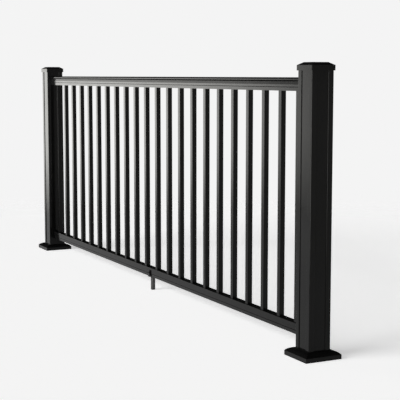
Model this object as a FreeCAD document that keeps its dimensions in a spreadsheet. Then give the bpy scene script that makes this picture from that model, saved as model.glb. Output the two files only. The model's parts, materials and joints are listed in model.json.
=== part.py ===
import FreeCAD, Part
import os
import re
import Sketcher

# Deck railing section: two capped posts, a top and a bottom rail, square balusters and a centre leg.
# X runs along the railing, -Y is the front, +Z is up. The origin lies on the deck, midway between the posts.

# Driving sizes in millimetres: heights are above the deck or above the piece's own lower face.
SIZES = {
    "post_spacing": 2552.5,
    "post_width": 82.5,
    "post_height": 951.5,
    "post_wall": 3,
    "post_corner": 2,
    "recess_width": 43,
    "recess_depth": 2.5,
    "recess_lip": 1,
    "cap_width": 90,
    "cap_skirt": 17,
    "cap_rise": 9.5,
    "cap_flat": 56.5,
    "cap_gap": 0.4,
    "cap_corner": 1.5,
    "cover_edge": 15,
    "cover_rise": 13,
    "cover_crown": 36,
    "cover_wall": 2.5,
    "cover_gap": 0.5,
    "plate_gap": 4.5,
    "plate_width": 122,
    "plate_thickness": 10,
    "plate_corner": 6,
    "bolt_inset": 12,
    "bolt_hole": 11,
    "rail_wall": 2.2,
    "rail_web": 3,
    "groove_depth": 1.2,
    "groove_height": 2.2,
    "rail_drop": 39,
    "top_cap_width": 45,
    "top_cap_height": 8.5,
    "top_cap_round": 7,
    "top_neck_width": 30,
    "top_neck_height": 5,
    "top_body_width": 38,
    "top_body_height": 31,
    "top_shoulder_height": 10,
    "top_shoulder_set": 0.6,
    "top_groove_height": 12.5,
    "deck_gap": 59.5,
    "bottom_rail_width": 31,
    "bottom_rail_height": 37,
    "bottom_rail_round": 1,
    "bottom_groove_height": 13,
    "bottom_lip_set": 0.8,
    "baluster_count": 22,
    "baluster_width": 19,
    "baluster_wall": 1.3,
    "baluster_corner": 1,
    "baluster_depth": 15,
    "baluster_gap": 0.3,
    "end_gap": 44.25,
    "bracket_length": 30,
    "bracket_lead": 1.5,
    "bracket_gap": 0.3,
    "saddle_length": 15,
    "saddle_cheek": 5,
    "saddle_grip": 26,
    "saddle_floor": 2,
    "saddle_round": 3,
    "saddle_gap": 0.3,
    "leg_width": 19,
    "leg_wall": 2,
    "leg_gap": 0.2,
    "leg_spigot": 8,
    "foot_height": 6,
    "foot_bevel": 2,
}

# Places and lengths that follow from the driving sizes.
RAIL_LENGTH = "(post_spacing - post_width)"
BALUSTER_PITCH = f"(({RAIL_LENGTH} - 2 * end_gap - baluster_width) / (baluster_count - 1))"
FIRST_BALUSTER = f"(end_gap + baluster_width / 2 - {RAIL_LENGTH} / 2)"
TOP_RAIL_HEIGHT = "(top_body_height + top_neck_height + top_cap_height)"
TOP_RAIL_FOOT = f"(post_height - rail_drop - {TOP_RAIL_HEIGHT})"
BALUSTER_FOOT = "(deck_gap + bottom_rail_height - baluster_depth)"
TOP_CAVITY = "(top_body_width / 2 - groove_depth - rail_wall)"
BOTTOM_CAVITY = "(bottom_rail_width / 2 - groove_depth - rail_wall)"
COVER_HALF = "(plate_width / 2 + plate_gap + cover_wall)"
LEG_BORE = "(leg_width - 2 * leg_wall)"
SIDES = {"left": -1, "right": 1}

doc = FreeCAD.newDocument("railing")
sheet = doc.addObject("Spreadsheet::Sheet", "Sizes")
for row, (alias, size) in enumerate(SIZES.items(), start=1):
    sheet.set(f"A{row}", alias)
    sheet.set(f"B{row}", str(size))
    sheet.setAlias(f"B{row}", alias)
doc.recompute()


def value(text):
    """Return the number that an expression of the sizes gives."""
    return float(sheet.evalExpression(text))


def bind(target, prop, text):
    """Tie a property to an expression of the sizes, each read from its cell."""
    cells = re.sub(r"[a-z]\w*", lambda word: "Sizes." + word.group(), text)
    target.setExpression(prop, cells)


def new_body(label, x="0", z="0"):
    """Start a sub-part on the section's centre plane, at an expression along X and up Z."""
    body = doc.addObject("PartDesign::Body", label)
    body.Label = label
    bind(body, "Placement.Base.x", x)
    bind(body, "Placement.Base.z", z)
    return body


def new_sketch(body, plane, offset="0"):
    """Start a sketch on one of the body's own origin planes, moved along its normal."""
    sketch = body.newObject("Sketcher::SketchObject", body.Label + "_sketch")
    support = next(feature for feature in body.Origin.OriginFeatures if feature.Role == plane)
    sketch.AttachmentSupport = (support, [""])
    sketch.MapMode = "FlatFace"
    bind(sketch, "AttachmentOffset.Base.z", offset)
    return sketch


def constrain(sketch, kind, text, *where):
    """Add a dimension whose value is an expression of the sizes."""
    index = sketch.addConstraint(Sketcher.Constraint(kind, *where, value(text)))
    bind(sketch, f"Constraints[{index}]", text)


def place_point(sketch, geometry, end, x, y):
    """Fix one point of the sketch at two expressions from its origin."""
    constrain(sketch, "DistanceX", x, -1, 1, geometry, end)
    constrain(sketch, "DistanceY", y, -1, 1, geometry, end)


def add_outline(sketch, corners):
    """Draw a closed outline, anticlockwise, through corners given as pairs of expressions.

    A third expression in a corner is the radius of an arc from it to the next corner. The arc bulges
    out of the outline, or into it where the fourth item is "in".
    """
    points = [FreeCAD.Vector(value(corner[0]), value(corner[1]), 0) for corner in corners]
    starts = []
    ends = []
    for start, end, corner in zip(points, points[1:] + points[:1], corners):
        if len(corner) == 2:
            curve = Part.LineSegment(start, end)
        else:
            half = (end - start) / 2
            radius = value(corner[2])
            bulge = radius - (radius ** 2 - half.Length ** 2) ** 0.5
            inward = "in" in corner
            out = half.cross(FreeCAD.Vector(0, 0, 1)).normalize()
            crest = start + half + out * (-bulge if inward else bulge)
            curve = Part.Arc(end, crest, start) if inward else Part.Arc(start, crest, end)
        index = sketch.addGeometry(curve)
        forward = curve.StartPoint.isEqual(start, 1e-6)
        starts.append((index, 1 if forward else 2))
        ends.append((index, 2 if forward else 1))
        if len(corner) > 2:
            constrain(sketch, "Radius", corner[2], index)
    for last, first, corner in zip(ends[-1:] + ends[:-1], starts, corners):
        sketch.addConstraint(Sketcher.Constraint("Coincident", *last, *first))
        place_point(sketch, *first, corner[0], corner[1])


def mirrored(corners):
    """Return the corners of one side followed by their mirror images, in reverse order."""
    return corners + [(f"-({x})", y) for x, y in reversed(corners)]


def add_rectangle(sketch, half, low, high):
    """Draw a rectangle that is centred across and runs from one height to another."""
    add_outline(sketch, mirrored([(half, low), (half, high)]))


def add_square(sketch, width, x="0"):
    """Draw a square of the given width about a point on the sketch's horizontal axis."""
    low = f"{x} - ({width}) / 2"
    high = f"{x} + ({width}) / 2"
    bottom = f"-({width}) / 2"
    top = f"({width}) / 2"
    add_outline(sketch, [(low, bottom), (high, bottom), (high, top), (low, top)])


def add_circle(sketch, diameter, x="0", y="0"):
    """Draw a circle of the given diameter about a point."""
    centre = FreeCAD.Vector(value(x), value(y), 0)
    index = sketch.addGeometry(Part.Circle(centre, FreeCAD.Vector(0, 0, 1), value(diameter) / 2))
    constrain(sketch, "Diameter", diameter, index)
    place_point(sketch, index, 3, x, y)


def pad(body, sketch, length, side="One side", backwards=False):
    """Extrude a sketch into the body."""
    feature = body.newObject("PartDesign::Pad", body.Label + "_pad")
    feature.Profile = sketch
    feature.SideType = side
    feature.Reversed = backwards
    bind(feature, "Length", length)
    doc.recompute()
    return feature


def pocket(body, sketch, length=None, side="One side", upwards=False):
    """Cut a sketch out of the body, by a length or right through, and test that it cuts."""
    before = body.Shape.Volume
    feature = body.newObject("PartDesign::Pocket", body.Label + "_pocket")
    feature.Profile = sketch
    feature.SideType = side
    feature.Reversed = upwards
    if length is None:
        feature.Type = "ThroughAll"
    else:
        bind(feature, "Length", length)
    doc.recompute()
    if body.Shape.Volume >= before:
        raise RuntimeError(f"{body.Label}: a pocket cuts nothing")
    return feature


def repeat_round(body, feature, sketch, axis="N_Axis"):
    """Repeat a feature four times about one of the sketch's axes, once for each side of a square."""
    pattern = body.newObject("PartDesign::PolarPattern", body.Label + "_round")
    pattern.Originals = [feature]
    pattern.Axis = (sketch, [axis])
    pattern.Angle = 360
    pattern.Occurrences = 4
    body.Tip = pattern
    doc.recompute()
    return pattern


def round_edges(body, feature, radius, wanted, kind="Fillet", prop="Radius"):
    """Fillet or chamfer the edges whose middle point passes the test."""
    names = []
    for index, edge in enumerate(feature.Shape.Edges, start=1):
        if wanted(edge.CenterOfMass):
            names.append(f"Edge{index}")
    if not names:
        raise RuntimeError(f"{body.Label}: no edge to round")
    result = body.newObject("PartDesign::" + kind, body.Label + "_edges")
    result.Base = (feature, names)
    bind(result, prop, radius)
    doc.recompute()
    return result


def upright(half, reach):
    """Return a test for upright edges in the faces of a square, a given way from each face's middle."""
    def passes(middle):
        near, far = sorted((abs(middle.x), abs(middle.y)))
        return abs(near - reach) < 1e-3 and abs(far - half) < 1e-3
    return passes


def on_corners(half):
    """Return a test for upright edges at the four corners of a square."""
    return upright(half, half)


def along_rail(half, height):
    """Return a test for the two long edges at a half width and a height."""
    return lambda middle: abs(abs(middle.y) - half) < 1e-3 and abs(middle.z - height) < 1e-3


def make_post(side, sign):
    """A square tube with a shallow recessed channel down the middle of each face."""
    body = new_body(f"post_{side}", f"{sign} * post_spacing / 2", "plate_thickness")
    section = new_sketch(body, "XY_Plane")
    add_square(section, "post_width")
    add_square(section, "post_width - 2 * (recess_depth + post_wall)")
    pad(body, section, "post_height - plate_thickness")
    channel = new_sketch(body, "XY_Plane")
    half = "recess_width / 2"
    add_rectangle(channel, half, "-post_width / 2 - recess_depth", "-post_width / 2 + recess_depth")
    cut = pocket(body, channel, upwards=True)
    faces = repeat_round(body, cut, channel)
    outside = value("post_width / 2")
    eased = round_edges(body, faces, "recess_lip", upright(outside, value(half)))
    round_edges(body, eased, "post_corner", on_corners(outside))
    return body


def make_cap(side, sign):
    """A shallow hipped cap whose skirt slides over the post."""
    body = new_body(f"post_cap_{side}", f"{sign} * post_spacing / 2", "post_height - cap_skirt")
    half = "cap_width / 2"
    top = "cap_skirt + cap_rise"
    block = new_sketch(body, "XY_Plane")
    add_square(block, "cap_width")
    pad(body, block, top)
    waste = new_sketch(body, "XZ_Plane")
    add_outline(waste, [(half, "cap_skirt"), (half, top), ("cap_flat / 2", top)])
    slope = pocket(body, waste, side="Symmetric")
    repeat_round(body, slope, waste, "V_Axis")
    socket = new_sketch(body, "XY_Plane")
    add_square(socket, "post_width + 2 * cap_gap")
    hollow = pocket(body, socket, "cap_skirt", upwards=True)
    round_edges(body, hollow, "cap_corner", on_corners(value(half)))
    return body


def make_cover(side, sign):
    """A hollow base cover: one moulded side with mitred ends, repeated round the post."""
    body = new_body(f"base_cover_{side}", f"{sign} * post_spacing / 2")
    half = COVER_HALF
    hole = "(post_width / 2 + cover_gap)"
    top = "(cover_edge + cover_rise)"
    moulding = new_sketch(body, "XZ_Plane")
    add_outline(moulding, [
        (half, "0"),
        (half, "cover_edge", "cover_crown"),
        (hole, top),
        (hole, f"{top} - cover_wall", "cover_crown", "in"),
        (f"{half} - cover_wall", "cover_edge - cover_wall / 2"),
        (f"{half} - cover_wall", "0"),
    ])
    pad(body, moulding, f"2 * {half}", side="Symmetric")
    mitre = new_sketch(body, "XY_Plane")
    inside = f"{hole} / 2"
    beyond = f"2 * {half}"
    add_outline(mitre, [(inside, inside), (beyond, beyond), (inside, beyond)])
    add_outline(mitre, [(inside, f"-{inside}"), (inside, f"-{beyond}"), (beyond, f"-{beyond}")])
    pocket(body, mitre, upwards=True)
    frame = body.newObject("PartDesign::PolarPattern", body.Label + "_frame")
    frame.TransformMode = "Whole shape"
    frame.Axis = (mitre, ["N_Axis"])
    frame.Angle = 360
    frame.Occurrences = 4
    body.Tip = frame
    doc.recompute()
    return body


def make_plate(side, sign):
    """A square base plate, drilled for four anchor bolts, that the post stands on."""
    body = new_body(f"base_plate_{side}", f"{sign} * post_spacing / 2")
    outline = new_sketch(body, "XY_Plane")
    add_square(outline, "plate_width")
    pad(body, outline, "plate_thickness")
    drill = new_sketch(body, "XY_Plane")
    corner = "plate_width / 2 - bolt_inset"
    add_circle(drill, "bolt_hole", corner, corner)
    hole = pocket(body, drill, upwards=True)
    holes = repeat_round(body, hole, drill)
    round_edges(body, holes, "plate_corner", on_corners(value("plate_width / 2")))
    return body


def punch_row(body, height, upwards):
    """Punch the row of square baluster holes through a rail's web."""
    first = new_sketch(body, "XY_Plane", height)
    add_square(first, "baluster_width + 2 * baluster_gap", FIRST_BALUSTER)
    hole = pocket(body, first, "rail_web + rail_wall", upwards=upwards)
    row = body.newObject("PartDesign::LinearPattern", body.Label + "_row")
    row.Originals = [hole]
    row.Direction = (first, ["H_Axis"])
    bind(row, "Length", f"(baluster_count - 1) * {BALUSTER_PITCH}")
    bind(row, "Occurrences", "baluster_count")
    body.Tip = row
    doc.recompute()
    return row


def groove(half, height):
    """Return the three corners of a shadow groove in the side of a rail."""
    return [
        (half, f"{height} - groove_height / 2"),
        (f"{half} - groove_depth", height),
        (half, f"{height} + groove_height / 2"),
    ]


def make_top_rail():
    """A hollow extrusion: grooved body, leaning shoulder, sloping neck and a rounded hand cap."""
    body = new_body("top_rail", z=TOP_RAIL_FOOT)
    half = "top_body_width / 2"
    neck = "top_neck_width / 2"
    cap = "top_cap_width / 2"
    soffit = "top_body_height + top_neck_height"
    section = new_sketch(body, "YZ_Plane")
    add_outline(section, mirrored([
        (half, "0"),
        *groove(half, "top_groove_height"),
        (half, "top_body_height - top_shoulder_height"),
        (f"{half} - top_shoulder_set", "top_body_height"),
        (neck, soffit),
        (cap, soffit),
        (cap, TOP_RAIL_HEIGHT),
    ]))
    add_outline(section, mirrored([
        (TOP_CAVITY, "rail_web"),
        (TOP_CAVITY, "top_body_height - rail_wall"),
        (f"{neck} - rail_wall", "top_body_height - rail_wall"),
        (f"{neck} - rail_wall", f"{TOP_RAIL_HEIGHT} - rail_wall"),
    ]))
    pad(body, section, RAIL_LENGTH, side="Symmetric")
    row = punch_row(body, "0", upwards=True)
    round_edges(body, row, "top_cap_round", along_rail(value(cap), value(TOP_RAIL_HEIGHT)))
    return body


def make_bottom_rail():
    """A hollow extrusion with eased top edges, a shadow groove and a lower lip that leans in."""
    body = new_body("bottom_rail", z="deck_gap")
    half = "bottom_rail_width / 2"
    section = new_sketch(body, "YZ_Plane")
    add_outline(section, mirrored([
        (f"{half} - bottom_lip_set", "0"),
        *groove(half, "bottom_groove_height"),
        (half, "bottom_rail_height"),
    ]))
    add_rectangle(section, BOTTOM_CAVITY, "rail_wall", "bottom_rail_height - rail_web")
    pad(body, section, RAIL_LENGTH, side="Symmetric")
    row = punch_row(body, "bottom_rail_height", upwards=False)
    round_edges(body, row, "bottom_rail_round", along_rail(value(half), value("bottom_rail_height")))
    return body


def make_baluster(number):
    """A square tube that stands in the punched holes of both rails."""
    place = f"{FIRST_BALUSTER} + {number} * {BALUSTER_PITCH}"
    body = new_body(f"baluster_{number + 1:02d}", place, BALUSTER_FOOT)
    section = new_sketch(body, "XY_Plane")
    add_square(section, "baluster_width")
    add_square(section, "baluster_width - 2 * baluster_wall")
    tube = pad(body, section, f"{TOP_RAIL_FOOT} + baluster_depth - {BALUSTER_FOOT}")
    round_edges(body, tube, "baluster_corner", on_corners(value("baluster_width / 2")))
    return body


def make_bracket(label, sign, foot, plate_height, plug_half, plug_low, plug_high):
    """A rail bracket: a plate that fills the post's channel and a plug that enters the rail's end."""
    body = new_body(label, f"{sign} * {RAIL_LENGTH} / 2", foot)
    body.Placement.Rotation = FreeCAD.Rotation(FreeCAD.Vector(0, 0, 1), 90 * (1 + sign))
    back = new_sketch(body, "YZ_Plane")
    add_rectangle(back, "recess_width / 2 - bracket_gap", "0", plate_height)
    pad(body, back, "recess_depth", backwards=True)
    nose = new_sketch(body, "YZ_Plane")
    low = f"{plug_low} + bracket_gap"
    high = f"{plug_high} - bracket_gap"
    add_rectangle(nose, f"{plug_half} - bracket_gap", low, high)
    plug = pad(body, nose, "bracket_length")
    end = value("bracket_length")
    round_edges(body, plug, "bracket_lead", lambda middle: abs(middle.x - end) < 1e-3, "Chamfer", "Size")
    return body


def make_saddle():
    """A U-shaped clip that grips the bottom rail, with a round spigot below it that enters the leg."""
    body = new_body("support_saddle", z="deck_gap")
    inner = "bottom_rail_width / 2 + saddle_gap"
    outer = f"{inner} + saddle_cheek"
    section = new_sketch(body, "YZ_Plane")
    add_outline(section, mirrored([
        (outer, "-saddle_floor"), (outer, "saddle_grip"), (inner, "saddle_grip"), (inner, "0"),
    ]))
    strap = pad(body, section, "saddle_length", side="Symmetric")
    round_edges(body, strap, "saddle_round", along_rail(value(outer), value("-saddle_floor")))
    spigot = new_sketch(body, "XY_Plane", "-saddle_floor")
    add_circle(spigot, f"{LEG_BORE} - 2 * leg_gap")
    pad(body, spigot, "leg_spigot", backwards=True)
    return body


def make_leg():
    """The round tube that carries the middle of the bottom rail."""
    body = new_body("support_leg", z="foot_height")
    section = new_sketch(body, "XY_Plane")
    add_circle(section, "leg_width")
    add_circle(section, LEG_BORE)
    pad(body, section, "deck_gap - saddle_floor - foot_height")
    return body


def make_foot():
    """A turned end plug that closes the leg and rests on the deck."""
    body = new_body("support_foot")
    profile = new_sketch(body, "XZ_Plane")
    rim = "leg_width / 2"
    spigot = f"{LEG_BORE} / 2 - leg_gap"
    crown = "foot_height + leg_spigot"
    add_outline(profile, [
        ("0", "0"), (f"{rim} - foot_bevel", "0"), (rim, "foot_bevel"), (rim, "foot_height"),
        (spigot, "foot_height"), (spigot, crown), ("0", crown),
    ])
    turned = body.newObject("PartDesign::Revolution", "support_foot_turned")
    turned.Profile = profile
    turned.ReferenceAxis = (profile, ["V_Axis"])
    turned.Angle = 360
    doc.recompute()
    return body


def make_all():
    """Build every sub-part and return them in order."""
    bodies = []
    for side, sign in SIDES.items():
        bodies.append(make_plate(side, sign))
        bodies.append(make_post(side, sign))
        bodies.append(make_cover(side, sign))
        bodies.append(make_cap(side, sign))
        bodies.append(make_bracket(
            f"rail_bracket_top_{side}", sign, TOP_RAIL_FOOT, TOP_RAIL_HEIGHT,
            TOP_CAVITY, "rail_web", "top_body_height - rail_wall",
        ))
        bodies.append(make_bracket(
            f"rail_bracket_bottom_{side}", sign, "deck_gap", "bottom_rail_height",
            BOTTOM_CAVITY, "rail_wall", "bottom_rail_height - rail_web",
        ))
    bodies.append(make_top_rail())
    bodies.append(make_bottom_rail())
    for number in range(round(value("baluster_count"))):
        bodies.append(make_baluster(number))
    bodies.append(make_saddle())
    bodies.append(make_leg())
    bodies.append(make_foot())
    return bodies


def write_all(bodies):
    """Test every object of the document, then write one STEP file for each sub-part."""
    doc.recompute()
    for item in doc.Objects:
        if "Invalid" in item.State or "Error" in item.State:
            raise RuntimeError(f"{item.Label}: {item.State}")
    for body in bodies:
        if body.Shape.isNull() or not body.Shape.isValid() or len(body.Shape.Solids) != 1:
            raise RuntimeError(f"{body.Label}: not one valid solid")
    os.makedirs("parts", exist_ok=True)
    for body in bodies:
        body.Shape.exportStep(f"parts/{body.Label}.step")
        box = body.Shape.BoundBox
        print(f"{body.Label}: {body.Shape.Volume / 1000:.1f} cm3, z {box.ZMin:.2f} to {box.ZMax:.2f}")


write_all(make_all())
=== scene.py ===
"""Looks of a deck railing section: finishes, fasteners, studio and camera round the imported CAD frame."""

import json
import logging
import math
from dataclasses import dataclass
from enum import Enum
from typing import Any

import bmesh
import bpy
from mathutils import Matrix, Vector


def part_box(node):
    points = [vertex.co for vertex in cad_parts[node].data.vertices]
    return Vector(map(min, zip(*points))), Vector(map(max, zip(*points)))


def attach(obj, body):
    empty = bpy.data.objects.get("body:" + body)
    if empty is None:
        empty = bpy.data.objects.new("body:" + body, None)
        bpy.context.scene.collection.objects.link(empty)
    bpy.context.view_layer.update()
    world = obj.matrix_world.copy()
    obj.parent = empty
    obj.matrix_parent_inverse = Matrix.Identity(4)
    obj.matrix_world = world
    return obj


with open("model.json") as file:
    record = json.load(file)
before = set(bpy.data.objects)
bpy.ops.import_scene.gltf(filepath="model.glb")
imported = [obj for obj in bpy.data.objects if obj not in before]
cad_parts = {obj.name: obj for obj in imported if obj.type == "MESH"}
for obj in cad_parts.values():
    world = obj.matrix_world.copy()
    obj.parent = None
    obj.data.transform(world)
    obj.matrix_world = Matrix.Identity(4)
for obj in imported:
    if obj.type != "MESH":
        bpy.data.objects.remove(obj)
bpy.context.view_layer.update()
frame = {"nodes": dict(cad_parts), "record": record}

Colour = tuple[float, float, float]
Point = tuple[float, float, float]
Span = tuple[float, float]

MM = 0.001
BODY = "root"
SHARP_EDGE = math.radians(35)
log = logging.getLogger("railing")


class Slot(Enum):
    """The record's material slots."""

    POWDER_COAT = "powder_coat"
    MOULDED_NYLON = "moulded_nylon"


class Draw(Enum):
    """How far the faint lines of an extrusion or a moulding are drawn out along X, Y and Z."""

    ALONG_RAIL = (0.02, 1.0, 1.0)
    UPRIGHT = (1.0, 1.0, 0.02)
    EVEN = (1.0, 1.0, 1.0)


class Level(Enum):
    """The two rails, as the CAD nodes spell them."""

    TOP = "top"
    BOTTOM = "bottom"


class Side(Enum):
    """The two ends of the section, seen from the front."""

    LEFT = -1
    RIGHT = 1

    @property
    def word(self) -> str:
        """The side's name as the CAD nodes spell it."""
        return self.name.lower()


class NodeSheet:
    """A shader node tree that is filled by short calls."""

    def __init__(self, tree: bpy.types.NodeTree) -> None:
        """Take over a tree and empty it.

        Args:
            tree: The node tree of a material or a world.
        """
        self.tree = tree
        tree.nodes.clear()

    def add(self, kind: str, values: dict[str | int, Any], **settings: Any) -> bpy.types.Node:
        """Add a node and fill its inputs.

        Args:
            kind: The node's type, without the leading ShaderNode.
            values: What each input gets: a constant, or the output socket that feeds it.
            **settings: The node's own properties.

        Returns:
            The new node.
        """
        node = self.tree.nodes.new("ShaderNode" + kind)
        for name, setting in settings.items():
            setattr(node, name, setting)
        for name, value in values.items():
            if isinstance(value, bpy.types.NodeSocket):
                self.tree.links.new(value, node.inputs[name])
            else:
                node.inputs[name].default_value = value
        return node

    def ramp(self, value: bpy.types.NodeSocket, span: Span, to: Span,
             smooth: bool = True) -> bpy.types.NodeSocket:
        """Map one span of a value onto another, clamped at both ends.

        Args:
            value: The output socket to map.
            span: The values that give the two ends.
            to: What they give.
            smooth: Whether the change is eased at both ends.

        Returns:
            The output socket of the mapped value.
        """
        node = self.add("MapRange", {
            "Value": value, "From Min": span[0], "From Max": span[1], "To Min": to[0], "To Max": to[1],
        }, interpolation_type="SMOOTHSTEP" if smooth else "LINEAR")
        return node.outputs["Result"]

    def sums(self, operation: str, first: Any, second: Any) -> bpy.types.NodeSocket:
        """Return the output of a two-input Math node."""
        return self.add("Math", {0: first, 1: second}, operation=operation).outputs[0]


@dataclass(frozen=True)
class Coat:
    """A painted, moulded or plated surface with uneven sheen and a fine relief.

    Sizes are in metres. The tint and the sheen run between two values in soft clouds. The stops and the span
    are the heights of the clouds' noise at which the tint and the sheen reach those values. The slot is the
    record's slot for this finish, where it has one.
    """

    label: str
    tint: Colour
    tint_worn: Colour
    roughness: Span
    specular: float
    slot: Slot | None = Slot.POWDER_COAT
    metallic: float = 0.0
    cloud: float = 0.11
    tint_stops: Span = (0.4, 0.75)
    sheen_span: Span = (0.3, 0.7)
    peel: float = 0.0012
    peel_depth: float = 0.000008
    draw: Draw = Draw.EVEN
    draw_width: float = 0.0035
    draw_depth: float = 0.000010

    def material(self) -> bpy.types.Material:
        """Return this finish as a material, made on the first call."""
        name = f"{self.label}_{self.draw.name.lower()}"
        made = bpy.data.materials.get(name)
        if made is None:
            made = bpy.data.materials.new(name)
            made.use_nodes = True
            self.fill(NodeSheet(made.node_tree))
        return made

    def fill(self, sheet: NodeSheet) -> None:
        """Lay the finish's nodes.

        Args:
            sheet: The material's empty node sheet.
        """
        place = sheet.add("TexCoord", {}).outputs["Object"]
        cloud = sheet.add("TexNoise", {"Vector": place, "Scale": 1 / self.cloud, "Detail": 4.0})
        tint = sheet.add("ValToRGB", {"Fac": cloud.outputs["Fac"]})
        colours = (self.tint, self.tint_worn)
        for stop, colour, where in zip(tint.color_ramp.elements, colours, self.tint_stops):
            stop.position = where
            stop.color = (*colour, 1.0)
        sheen = sheet.ramp(cloud.outputs["Fac"], self.sheen_span, self.roughness)
        stretch = sheet.add("Mapping", {"Vector": place, "Scale": self.draw.value})
        lines = sheet.add("TexNoise", {
            "Vector": stretch.outputs["Vector"], "Scale": 1 / self.draw_width, "Detail": 2.0,
        })
        drawn = sheet.add("Bump", {
            "Height": lines.outputs["Fac"], "Distance": self.draw_depth, "Strength": 1.0,
        })
        peel = sheet.add("TexNoise", {"Vector": place, "Scale": 1 / self.peel, "Detail": 1.0})
        relief = sheet.add("Bump", {
            "Height": peel.outputs["Fac"], "Distance": self.peel_depth, "Strength": 1.0,
            "Normal": drawn.outputs["Normal"],
        })
        shader = sheet.add("BsdfPrincipled", {
            "Base Color": tint.outputs["Color"], "Metallic": self.metallic, "Roughness": sheen,
            "Specular IOR Level": self.specular, "Normal": relief.outputs["Normal"],
        })
        sheet.add("OutputMaterial", {"Surface": shader.outputs["BSDF"]})


BLACK = (0.0040, 0.0040, 0.0040)
BLACK_WORN = (0.0050, 0.0050, 0.0049)
RAIL_COAT = Coat("black_powder_coat", BLACK, BLACK_WORN, (0.10, 0.15), 0.10, draw=Draw.ALONG_RAIL)
POST_COAT = Coat("black_powder_coat", BLACK, BLACK_WORN, (0.10, 0.15), 0.10, draw=Draw.UPRIGHT)
CAST_COAT = Coat("black_powder_coat", BLACK, BLACK_WORN, (0.12, 0.18), 0.10, peel=0.0016, peel_depth=0.000015)
NYLON = Coat("black_nylon", (0.007, 0.007, 0.0072), (0.010, 0.010, 0.0102), (0.30, 0.42), 0.18,
             slot=Slot.MOULDED_NYLON, peel=0.0007)
# Grey tint of the support leg: a painted highlight, in place of the gloss down the middle of a dark tube.
PAINTED_HIGHLIGHT_LEG_COAT = Coat("satin_powder_coat", (0.054, 0.054, 0.054), (0.062, 0.062, 0.061), (0.42, 0.52), 0.16,
                  draw=Draw.UPRIGHT)
ZINC = Coat("zinc_plated_steel", (0.52, 0.53, 0.55), (0.40, 0.41, 0.43), (0.28, 0.42), 0.5, slot=None,
            metallic=1.0)


def dress(node: str, coat: Coat) -> None:
    """Give a CAD node its finish through its object's own material slot.

    Args:
        node: The CAD node's name.
        coat: The finish.
    """
    slot = frame["nodes"][node].material_slots[0]
    slot.link = "OBJECT"
    slot.material = coat.material()
    log.info("dressed %s in %s", node, slot.material.name)


def add_piece(mesh: bmesh.types.BMesh, name: str, coat: Coat) -> bpy.types.Object:
    """Turn a finished bmesh into a piece that rides on the section.

    Args:
        mesh: The bmesh, in metres in the section's frame. It is freed.
        name: The piece's name.
        coat: The finish.

    Returns:
        The new object.
    """
    bmesh.ops.recalc_face_normals(mesh, faces=mesh.faces)
    for face in mesh.faces:
        face.smooth = True
    data = bpy.data.meshes.new(name)
    mesh.to_mesh(data)
    mesh.free()
    data.set_sharp_from_angle(angle=SHARP_EDGE)
    data.materials.append(coat.material())
    piece = bpy.data.objects.new(name, data)
    bpy.context.scene.collection.objects.link(piece)
    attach(piece, BODY)
    log.info("added %s with %d faces", name, len(data.polygons))
    return piece


@dataclass
class SocketScrew:
    """A button-head screw with a hexagon socket, its head standing on +Z of its own place."""

    head_radius: float = 4.6 * MM
    head_height: float = 2.6 * MM
    crown: float = 0.72
    socket_radius: float = 2.2 * MM
    socket_depth: float = 1.5 * MM
    segments: int = 28
    socket_sides: int = 6

    def build(self, mesh: bmesh.types.BMesh, place: Matrix) -> None:
        """Add the screw's head to a mesh.

        Args:
            mesh: The bmesh that takes the screw.
            place: Where the head stands; its Z axis is the screw's axis.
        """
        base = bmesh.ops.create_circle(mesh, cap_ends=True, radius=self.head_radius, segments=self.segments)
        made = list(base["verts"])
        rim = list(made[0].link_faces[0].edges)
        shoulder = self.lift(mesh, rim, self.head_height * (1 - self.crown / 2), 1.0)
        crown = self.lift(mesh, shoulder, self.head_height * self.crown / 2, self.crown)
        socket = bmesh.ops.create_circle(
            mesh, radius=self.socket_radius, segments=self.socket_sides,
            matrix=Matrix.Translation((0, 0, self.head_height)))
        hexagon = list({edge for vert in socket["verts"] for edge in vert.link_edges})
        bmesh.ops.bridge_loops(mesh, edges=crown + hexagon)
        floor = self.lift(mesh, hexagon, -self.socket_depth, 1.0)
        bmesh.ops.edgeloop_fill(mesh, edges=floor)
        for ring in (shoulder, crown, floor):
            made += [vert for edge in ring for vert in edge.verts]
        made += socket["verts"]
        bmesh.ops.transform(mesh, matrix=place, verts=list(set(made)))

    @staticmethod
    def lift(mesh: bmesh.types.BMesh, ring: list[bmesh.types.BMEdge], height: float,
             scale: float) -> list[bmesh.types.BMEdge]:
        """Extrude a ring of edges up its axis and scale the new ring.

        Args:
            mesh: The bmesh that holds the ring.
            ring: The edges to extrude.
            height: How far the new ring stands above the old one.
            scale: The new ring's size against the old one's.

        Returns:
            The new ring's edges.
        """
        grown = bmesh.ops.extrude_edge_only(mesh, edges=ring)["geom"]
        verts = [item for item in grown if isinstance(item, bmesh.types.BMVert)]
        bmesh.ops.scale(mesh, vec=(scale, scale, 1.0), verts=verts)
        bmesh.ops.translate(mesh, vec=(0, 0, height), verts=verts)
        inside = set(verts)
        edges = [item for item in grown if isinstance(item, bmesh.types.BMEdge)]
        return [edge for edge in edges if set(edge.verts) <= inside]


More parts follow.
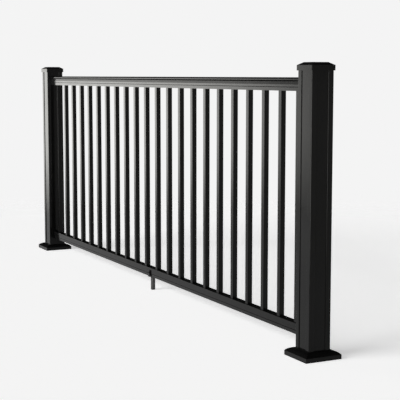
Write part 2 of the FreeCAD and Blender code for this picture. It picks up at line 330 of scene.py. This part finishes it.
@dataclass
class AnchorBolt:
    """A hexagon bolt with a washer that holds a base plate down."""

    head_across: float = 13 * MM
    head_height: float = 5.5 * MM
    head_bevel: float = 0.6 * MM
    washer_radius: float = 8.5 * MM
    washer_height: float = 1.6 * MM
    shank_radius: float = 4 * MM
    head_sides: int = 6
    washer_sides: int = 32
    shank_sides: int = 20

    def build(self, mesh: bmesh.types.BMesh, foot: Vector, seat: Vector) -> None:
        """Add one bolt to a mesh.

        Args:
            mesh: The bmesh that takes the bolt.
            foot: The lower end of its shank.
            seat: The point of the plate that the washer lies on.
        """
        washer_top = seat + Vector((0, 0, self.washer_height))
        self.rod(mesh, foot, washer_top, self.shank_radius, self.shank_sides)
        self.rod(mesh, seat, washer_top, self.washer_radius, self.washer_sides)
        head_top = washer_top + Vector((0, 0, self.head_height))
        head = self.rod(mesh, washer_top, head_top, self.head_across / math.sqrt(3), self.head_sides)
        crown = [vert for vert in head if vert.co.z > washer_top.z + self.head_height / 2]
        edges = {edge for vert in crown for edge in vert.link_edges if set(edge.verts) <= set(crown)}
        bmesh.ops.bevel(mesh, geom=list(edges), offset=self.head_bevel, affect="EDGES", segments=2,
                        profile=0.5, material=-1)

    @staticmethod
    def rod(mesh: bmesh.types.BMesh, low: Vector, high: Vector, radius: float,
            segments: int) -> list[bmesh.types.BMVert]:
        """Add a closed upright prism.

        Args:
            mesh: The bmesh that takes the prism.
            low: The middle of its lower face.
            high: The middle of its upper face.
            radius: Its radius to the corners.
            segments: Its number of sides.

        Returns:
            The prism's vertices.
        """
        return bmesh.ops.create_cone(
            mesh, cap_ends=True, segments=segments, radius1=radius, radius2=radius,
            depth=high.z - low.z, matrix=Matrix.Translation((low + high) / 2))["verts"]


@dataclass
class Post:
    """One end post: base plate with its anchor bolts, cover, shaft and cap."""

    side: Side
    bolt: AnchorBolt
    shank_inset: float = 0.8 * MM

    def build(self) -> None:
        """Dress the post's CAD nodes and add its anchor bolts."""
        word = self.side.word
        dress(f"post_{word}", POST_COAT)
        for node in ("post_cap", "base_cover", "base_plate"):
            dress(f"{node}_{word}", CAST_COAT)
        for number, (foot, seat) in enumerate(self.bolt_places(), start=1):
            mesh = bmesh.new()
            self.bolt.build(mesh, foot, seat)
            add_piece(mesh, f"anchor_bolt_{word}_{number}", ZINC)

    def bolt_places(self) -> list[tuple[Vector, Vector]]:
        """Work out where the bolts stand from the record's bolt pattern.

        Returns:
            For each bolt the lower end of its shank and the middle of its washer's seat.
        """
        name = f"deck_bolts_{self.side.word}"
        mount = next(item for item in frame["record"]["mounts"] if item["name"] == name)
        centre = Vector(mount["pos_m"])
        half_x = mount["dims"]["spacing_x_mm"] * MM / 2
        half_y = mount["dims"]["spacing_y_mm"] * MM / 2
        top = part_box(f"base_plate_{self.side.word}")[1][2]
        places = []
        for x, y in ((-1, -1), (1, -1), (1, 1), (-1, 1)):
            spot = centre + Vector((x * half_x, y * half_y, 0))
            places.append((spot + Vector((0, 0, self.shank_inset)), Vector((spot.x, spot.y, top))))
        return places


@dataclass
class Rail:
    """A top or bottom rail with its two end brackets and the screws that pin them from below."""

    level: Level
    screw: SocketScrew
    screw_inset: float = 15 * MM

    def build(self) -> None:
        """Dress the rail and its brackets and add the bracket screws."""
        word = self.level.value
        node = f"{word}_rail"
        dress(node, RAIL_COAT)
        low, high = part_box(node)
        for side in Side:
            dress(f"rail_bracket_{word}_{side.word}", CAST_COAT)
            end = low[0] if side is Side.LEFT else high[0]
            spot = Vector((end - side.value * self.screw_inset, 0, low[2]))
            mesh = bmesh.new()
            self.screw.build(mesh, Matrix.Translation(spot) @ Matrix.Rotation(math.pi, 4, "X"))
            add_piece(mesh, f"bracket_screw_{word}_{side.word}", CAST_COAT)


@dataclass
class BalusterRow:
    """The row of square balusters."""

    prefix: str = "baluster_"

    def build(self) -> None:
        """Dress every baluster."""
        for node in sorted(frame["nodes"]):
            if node.startswith(self.prefix):
                dress(node, POST_COAT)


@dataclass
class CentreSupport:
    """The saddle under the bottom rail, its leg and foot, and the screws through its cheeks."""

    screw: SocketScrew
    screw_height: float = 76 * MM

    def build(self) -> None:
        """Dress the support and add a screw to each cheek."""
        dress("support_saddle", NYLON)
        # The leg's grey tint is a painted highlight.
        dress("support_leg", PAINTED_HIGHLIGHT_LEG_COAT)
        dress("support_foot", NYLON)
        low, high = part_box("support_saddle")
        for name, y, turn in (("front", low[1], math.pi / 2), ("back", high[1], -math.pi / 2)):
            place = Matrix.Translation((0, y, self.screw_height)) @ Matrix.Rotation(turn, 4, "X")
            mesh = bmesh.new()
            self.screw.build(mesh, place)
            add_piece(mesh, f"saddle_screw_{name}", CAST_COAT)


@dataclass
class Viewpoint:
    """The camera: where it stands, which way it looks, how long its lens is and how far it sees."""

    place: Point = (4.2709, -1.9177, 0.9207)
    azimuth: float = 63.339
    drop: float = 6.490
    lens_mm: float = 99.08
    sensor_mm: float = 36.0
    sight: float = 200.0

    def build(self) -> None:
        """Make the camera and set it as the scene's."""
        data = bpy.data.cameras.new("photo_camera")
        data.lens = self.lens_mm
        data.sensor_width = self.sensor_mm
        data.clip_end = self.sight
        camera = bpy.data.objects.new("photo_camera", data)
        camera.location = self.place
        camera.rotation_euler = (math.radians(90 - self.drop), 0.0, math.radians(self.azimuth))
        bpy.context.scene.collection.objects.link(camera)
        bpy.context.scene.camera = camera


@dataclass(frozen=True)
class Panel:
    """A soft light panel of the studio's surroundings, as the gloss of the coat mirrors it.

    Its reach is the cosine, along the horizon, at which it ends and the one from which it is full.
    Its lower and upper edge are heights in the unit direction, each with a soft span.
    """

    towards: Point
    strength: float
    reach: Span
    lower: Span
    upper: Span

    def glow(self, sheet: NodeSheet, level: bpy.types.NodeSocket,
             rise: bpy.types.NodeSocket) -> bpy.types.NodeSocket:
        """Lay the panel's nodes.

        Args:
            sheet: The world's node sheet.
            level: The ray's direction, turned level.
            rise: The upward part of the ray's direction.

        Returns:
            The output socket of the panel's radiance.
        """
        facing = sheet.add("VectorMath", {0: level, 1: self.towards}, operation="DOT_PRODUCT")
        across = sheet.ramp(facing.outputs["Value"], self.reach, (0.0, self.strength), smooth=False)
        above = sheet.ramp(rise, self.lower, (0.0, 1.0))
        below = sheet.ramp(rise, self.upper, (1.0, 0.0))
        return sheet.sums("MULTIPLY", across, sheet.sums("MULTIPLY", above, below))


@dataclass(frozen=True)
class Lamp:
    """A wide, soft lamp in front of the section, which the gloss of the coat doesn't mirror.

    Its angle is how wide it looks and its elevation how high it stands, both in degrees.
    """

    label: str
    strength: float
    angle: float
    elevation: float

    def build(self) -> None:
        """Make the lamp."""
        data = bpy.data.lights.new(self.label, "SUN")
        data.energy = self.strength
        data.angle = math.radians(self.angle)
        lamp = bpy.data.objects.new(self.label, data)
        lamp.rotation_euler = (math.radians(90 - self.elevation), 0.0, 0.0)
        lamp.visible_glossy = False
        bpy.context.scene.collection.objects.link(lamp)


FAR_LEFT = (-0.9135, -0.4067, 0.0)
FRONT_RIGHT = (0.55, -0.835, 0.0)
STRIP_REACH = (0.9863, 0.9985)


@dataclass
class Studio:
    """A pale floor that fades into a pale backdrop, a low key light in front, and light panels.

    Two panels stand low on the left, beyond the far post: a bright core and a wash that reaches higher.
    A third stands in front, and only edges and round pieces mirror it.
    """

    pale: float = 0.905
    floor_glow: float = 0.555
    floor_fade: float = 2.0
    floor_radius: float = 3.8
    floor_sides: int = 96
    key: Lamp = Lamp("soft_key", 3.25, 45.0, 20.0)
    sweep: float = 0.724
    ceiling: float = 0.0096
    horizon: Span = (0.0, 0.05)
    warmth: Colour = (1.0, 0.995, 0.96)
    core: Panel = Panel(FAR_LEFT, 4.0, STRIP_REACH, (-0.14, -0.05), (0.02, 0.042))
    wash: Panel = Panel(FAR_LEFT, 2.1, STRIP_REACH, (-0.14, -0.05), (0.24, 0.42))
    front: Panel = Panel(FRONT_RIGHT, 10.4, (0.55, 0.82), (-0.2, -0.08), (0.03, 0.1))

    def build(self) -> None:
        """Set the colour handling and make the floor, the key light and the world."""
        bpy.context.scene.view_settings.view_transform = "Standard"
        self.make_floor()
        self.key.build()
        self.make_world()

    def make_floor(self) -> None:
        """Make a round floor that keeps the shadow and thins out towards its edge."""
        mesh = bmesh.new()
        bmesh.ops.create_circle(mesh, cap_ends=True, radius=self.floor_radius, segments=self.floor_sides)
        data = bpy.data.meshes.new("studio_floor")
        mesh.to_mesh(data)
        mesh.free()
        paper = bpy.data.materials.new("pale_paper")
        paper.use_nodes = True
        sheet = NodeSheet(paper.node_tree)
        matt = sheet.add("BsdfDiffuse", {"Color": (self.pale, self.pale, self.pale, 1.0)})
        path = sheet.add("LightPath", {})
        seen = sheet.sums("MAXIMUM", path.outputs["Is Camera Ray"], path.outputs["Is Glossy Ray"])
        seen = sheet.sums("MAXIMUM", seen, path.outputs["Is Transmission Ray"])
        glow = sheet.add("Emission", {"Strength": sheet.sums("MULTIPLY", seen, self.floor_glow)})
        solid = sheet.add("AddShader", {0: matt.outputs[0], 1: glow.outputs[0]})
        place = sheet.add("TexCoord", {}).outputs["Object"]
        reach = sheet.add("VectorMath", {0: place}, operation="LENGTH").outputs["Value"]
        thin = sheet.ramp(reach, (self.floor_fade, self.floor_radius), (0.0, 1.0))
        clear = sheet.add("BsdfTransparent", {})
        mixed = sheet.add("MixShader", {0: thin, 1: solid.outputs[0], 2: clear.outputs[0]})
        sheet.add("OutputMaterial", {"Surface": mixed.outputs[0]})
        data.materials.append(paper)
        floor = bpy.data.objects.new("studio_floor", data)
        bpy.context.scene.collection.objects.link(floor)

    def make_world(self) -> None:
        """Make the backdrop, the dark ceiling and the light panels."""
        world = bpy.data.worlds.new("studio")
        world.use_nodes = True
        sheet = NodeSheet(world.node_tree)
        towards = sheet.add("TexCoord", {}).outputs["Generated"]
        rise = sheet.add("SeparateXYZ", {"Vector": towards}).outputs["Z"]
        flat = sheet.add("VectorMath", {0: towards, 1: (1.0, 1.0, 0.0)}, operation="MULTIPLY")
        level = sheet.add("VectorMath", {0: flat.outputs["Vector"]}, operation="NORMALIZE").outputs["Vector"]
        light = sheet.ramp(rise, self.horizon, (self.sweep, self.ceiling))
        for panel in (self.core, self.wash, self.front):
            light = sheet.sums("ADD", light, panel.glow(sheet, level, rise))
        studio = sheet.add("Background", {"Color": (*self.warmth, 1.0), "Strength": light})
        backdrop = sheet.add("Background", {"Color": (self.pale, self.pale, self.pale, 1.0)})
        path = sheet.add("LightPath", {})
        mixed = sheet.add("MixShader", {
            0: path.outputs["Is Camera Ray"], 1: studio.outputs[0], 2: backdrop.outputs[0],
        })
        sheet.add("OutputWorld", {"Surface": mixed.outputs[0]})
        bpy.context.scene.world = world


def main() -> None:
    """Build the section's sub-assemblies in order, then the studio and the camera."""
    logging.basicConfig(level=logging.INFO, format="%(name)s: %(message)s")
    for side in Side:
        Post(side, AnchorBolt()).build()
    for level in Level:
        Rail(level, SocketScrew()).build()
    BalusterRow().build()
    CentreSupport(SocketScrew(head_radius=4 * MM, head_height=2 * MM)).build()
    Studio().build()
    Viewpoint().build()


if __name__ == "__main__":
    main()
